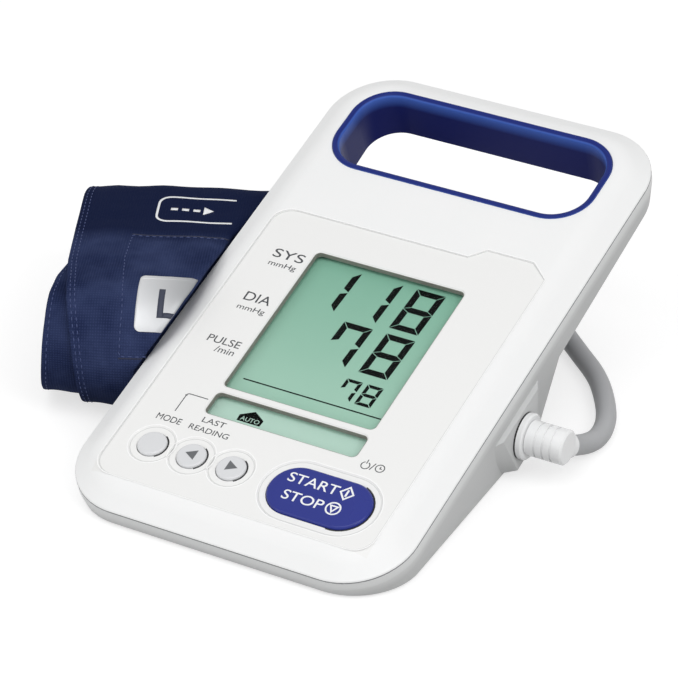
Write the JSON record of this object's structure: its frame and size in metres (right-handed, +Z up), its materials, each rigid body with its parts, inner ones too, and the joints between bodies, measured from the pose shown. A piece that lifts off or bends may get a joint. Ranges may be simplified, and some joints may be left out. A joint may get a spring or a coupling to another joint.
{
  "type": "arm-in blood pressure monitor",
  "caption": "Desk blood pressure monitor with a sloping face, green display, keys and a carrying handle, with its air hose and rolled arm cuff.",
  "frame": {"origin": "on the table, at the middle of the footprint of unit and cuff, without the hose and its plug", "axes": "+X to the right of someone facing the unit, +Y away from them towards the handle, +Z up"},
  "size_m": [0.2152, 0.2182, 0.0749],
  "materials": {
    "white_abs": "satin moulded",
    "grey_abs": "fine moulded texture",
    "blue_abs": "gloss moulded",
    "clear_acrylic": "polished clear",
    "lcd_green": "smooth",
    "diffuser": "smooth",
    "key_grey": "satin moulded",
    "start_blue": "gloss moulded",
    "circuit_board": "solder mask",
    "black_nylon": "moulded",
    "steel": "zinc plated",
    "black_rubber": "moulded",
    "foot_rubber": "moulded",
    "hose_rubber": "extruded matte",
    "white_plug": "moulded",
    "cell_wrap": "shrink film",
    "navy_nylon": "woven",
    "inner_film": "smooth",
    "silver_label": "satin woven",
    "clear_tube": "silicone"
  },
  "bodies": {
    "monitor": {"front_cover": "white_abs", "rear_cover": "grey_abs", "handle_liner": "blue_abs", "display_window": "clear_acrylic", "lcd_glass": "lcd_green", "backlight_guide": "diffuser", "lcd_frame": "black_nylon", "main_board": "circuit_board", "tact_switches": "black_nylon", "air_socket": "white_plug", "socket_gasket": "black_rubber", "socket_nut": "black_nylon", "hose_coil": "hose_rubber", "hose_tie": "black_nylon", "cuff_hose": "hose_rubber", "cuff_connector": "hose_rubber", "cuff_wrap": "navy_nylon", "cuff_bladder": "inner_film", "hook_patch": "navy_nylon", "cuff_label": "silver_label", "battery_pack": "cell_wrap", "pack_connector": "white_plug", "dc_jack": "black_nylon", "pump_motor": "steel", "pump_head": "black_nylon", "pump_cradle": "black_rubber", "air_block": "black_nylon", "exhaust_valve": "steel", "pressure_sensor": "black_nylon", "buzzer": "black_nylon", "pump_tube": "clear_tube", "sensor_tube": "clear_tube", "housing_screws": "steel", "board_screws": "steel", "rubber_feet": "foot_rubber"},
    "mode_key": {"mode_button": "key_grey"},
    "back_key": {"back_button": "key_grey"},
    "forward_key": {"forward_button": "key_grey"},
    "start_stop_key": {"start_stop_button": "start_blue"},
    "battery_lid": {"battery_cover": "grey_abs"},
    "plug_and_hose": {"air_plug": "white_plug", "plug_o_ring": "black_rubber", "air_hose": "hose_rubber"},
    "pump_shaft": {"pump_rotor": "steel"},
    "valve_rod": {"valve_plunger": "steel"}
  },
  "joints": [
    {"name": "mode_press", "type": "slide", "parent": "monitor", "child": "mode_key", "axis": [0, 0.309, -0.9511], "range_m": [0, 0.0008], "stiffness_N_per_m": 400},
    {"name": "back_press", "type": "slide", "parent": "monitor", "child": "back_key", "axis": [0, 0.309, -0.9511], "range_m": [0, 0.0008], "stiffness_N_per_m": 400},
    {"name": "forward_press", "type": "slide", "parent": "monitor", "child": "forward_key", "axis": [0, 0.309, -0.9511], "range_m": [0, 0.0008], "stiffness_N_per_m": 400},
    {"name": "start_stop_press", "type": "slide", "parent": "monitor", "child": "start_stop_key", "axis": [0, 0.309, -0.9511], "range_m": [0, 0.0008], "stiffness_N_per_m": 500},
    {"name": "battery_cover_slide", "type": "slide", "parent": "monitor", "child": "battery_lid", "axis": [0, 1, 0], "range_m": [0, 0.008]},
    {"name": "plug_pull", "type": "slide", "parent": "monitor", "child": "plug_and_hose", "axis": [1, 0, 0], "range_m": [0, 0.0105]},
    {"name": "pump_spin", "type": "hinge", "parent": "monitor", "child": "pump_shaft", "pos_m": [-0.00634, -0.012, 0.0155], "axis": [0, 1, 0], "continuous": true},
    {"name": "valve_stroke", "type": "slide", "parent": "monitor", "child": "valve_rod", "axis": [0, 1, 0], "range_m": [0, 0.0008], "stiffness_N_per_m": 300}
  ]
}
